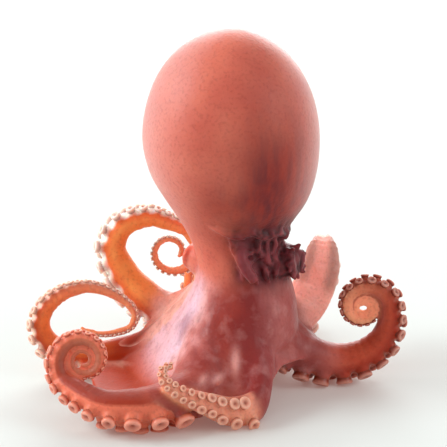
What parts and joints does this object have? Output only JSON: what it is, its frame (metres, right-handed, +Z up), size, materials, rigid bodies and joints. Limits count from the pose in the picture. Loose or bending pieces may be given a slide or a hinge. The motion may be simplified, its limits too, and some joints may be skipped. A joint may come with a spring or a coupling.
{
  "type": "whole cooked octopus",
  "caption": "Whole small boiled octopus standing on its own arms: egg-shaped mantle, narrow neck, web and long tapering arms curled with their suckers outwards.",
  "frame": {"origin": "the middle of the box round the octopus, on the surface that it stands on", "axes": "+Z up through the mantle, -Y the side with the siphon that is shown, +X to the right of that side"},
  "size_m": [0.088, 0.0748, 0.0846],
  "materials": {
    "boiled_flesh": "moist boiled octopus skin, red-brown to mauve, slightly translucent, satin"
  },
  "bodies": {
    "root": {"octopus": "boiled_flesh"}
  },
  "joints": []
}
